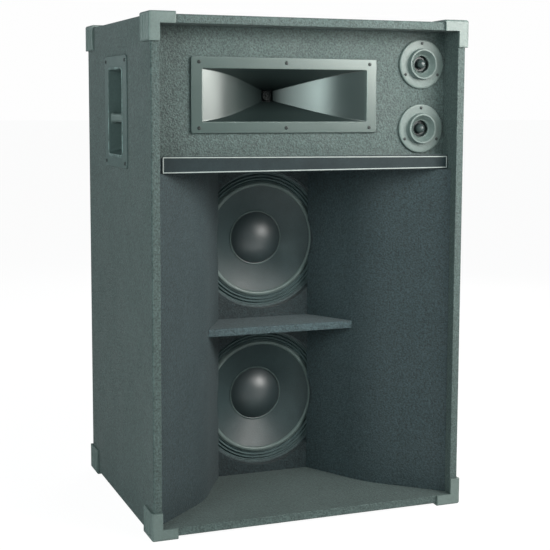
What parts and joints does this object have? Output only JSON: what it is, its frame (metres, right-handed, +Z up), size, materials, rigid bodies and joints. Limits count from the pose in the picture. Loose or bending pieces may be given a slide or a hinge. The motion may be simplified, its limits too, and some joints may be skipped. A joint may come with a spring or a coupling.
{
  "type": "pa speaker cabinet",
  "caption": "Tall PA speaker cabinet with a flared mouth over recessed woofers, a rectangular horn, bullet tweeters, bar handles and moulded corners.",
  "frame": {"origin": "centre of the footprint, on the plane that the moulded corners stand on", "axes": "+Z up, -Y out of the open front, +X to the right for someone who faces the front"},
  "size_m": [0.6752, 0.535, 1.01],
  "materials": {
    "covering": "charcoal textured covering glued over birch plywood",
    "baffle_covering": "dark textured covering over board, as on the baffles and flares",
    "moulding": "satin dark grey moulded plastic with a fine grain",
    "black_moulding": "satin near-black moulded plastic",
    "strip": "glossy black strip with a thin pale border",
    "paper": "dark pulp paper with fine felted grain",
    "cloth": "doped pleated cloth",
    "spider_cloth": "amber resin-treated woven cloth",
    "cork": "compressed fibre gasket",
    "basket_steel": "black stoved paint on pressed steel",
    "ferrite": "dark grey sintered ferrite and plated steel",
    "zinc": "bright plated metal",
    "board_wood": "bare plywood and softwood",
    "circuit_board": "green circuit board",
    "copper": "enamelled copper winding",
    "wadding": "white polyester wadding",
    "red_plastic": "glossy red plastic",
    "black_plastic": "glossy black plastic"
  },
  "bodies": {
    "cabinet": {"bottom_panel": "covering", "centre_brace": "board_wood", "corner_bottom_front_left": "moulding", "corner_bottom_front_right": "moulding", "corner_bottom_rear_left": "moulding", "corner_bottom_rear_right": "moulding", "corner_top_front_left": "moulding", "corner_top_front_right": "moulding", "corner_top_rear_left": "moulding", "corner_top_rear_right": "moulding", "crossover_board": "circuit_board", "crossover_coil": "copper", "damping_blanket": "wadding", "divider_shelf": "baffle_covering", "horn_driver": "ferrite", "horn_flare": "moulding", "jack_socket_left": "zinc", "jack_socket_right": "zinc", "left_flare_front": "baffle_covering", "left_flare_rear": "baffle_covering", "left_handle_cup": "black_moulding", "left_handle_grip": "moulding", "left_side_panel": "covering", "lower_tweeter_horn": "moulding", "lower_tweeter_motor": "black_moulding", "lower_woofer_basket": "basket_steel", "lower_woofer_gasket": "cork", "lower_woofer_magnet": "ferrite", "lower_woofer_spider": "spider_cloth", "lower_woofer_surround": "cloth", "mouth_roof": "baffle_covering", "name_rail": "baffle_covering", "name_strip": "strip", "rear_cleat_bottom": "board_wood", "rear_cleat_top": "board_wood", "rear_panel": "covering", "right_flare_front": "baffle_covering", "right_flare_rear": "baffle_covering", "right_handle_cup": "black_moulding", "right_handle_grip": "moulding", "right_side_panel": "covering", "terminal_cup": "black_plastic", "top_panel": "covering", "upper_baffle": "covering", "upper_tweeter_horn": "moulding", "upper_tweeter_motor": "black_moulding", "upper_woofer_basket": "basket_steel", "upper_woofer_gasket": "cork", "upper_woofer_magnet": "ferrite", "upper_woofer_spider": "spider_cloth", "upper_woofer_surround": "cloth", "woofer_baffle": "baffle_covering"},
    "upper_driver": {"upper_woofer_cone": "paper", "upper_woofer_dust_cap": "paper", "upper_woofer_voice_coil": "copper"},
    "lower_driver": {"lower_woofer_cone": "paper", "lower_woofer_dust_cap": "paper", "lower_woofer_voice_coil": "copper"},
    "red_lever": {"terminal_lever_red": "red_plastic"},
    "black_lever": {"terminal_lever_black": "black_plastic"}
  },
  "joints": [
    {"name": "upper_cone_travel", "type": "slide", "parent": "cabinet", "child": "upper_driver", "axis": [0, -1, 0], "range_m": [-0.006, 0.006], "stiffness_N_per_m": 4800, "deforming": ["upper_woofer_surround", "upper_woofer_spider"]},
    {"name": "lower_cone_travel", "type": "slide", "parent": "cabinet", "child": "lower_driver", "axis": [0, -1, 0], "range_m": [-0.006, 0.006], "stiffness_N_per_m": 4800, "deforming": ["lower_woofer_surround", "lower_woofer_spider"]},
    {"name": "red_lever_press", "type": "hinge", "parent": "cabinet", "child": "red_lever", "pos_m": [0.014, 0.2365, 0.635], "axis": [1, 0, 0], "range_deg": [0, 22], "stiffness_Nm_per_rad": 0.06},
    {"name": "black_lever_press", "type": "hinge", "parent": "cabinet", "child": "black_lever", "pos_m": [0.04, 0.2365, 0.635], "axis": [1, 0, 0], "range_deg": [0, 22], "stiffness_Nm_per_rad": 0.06}
  ]
}
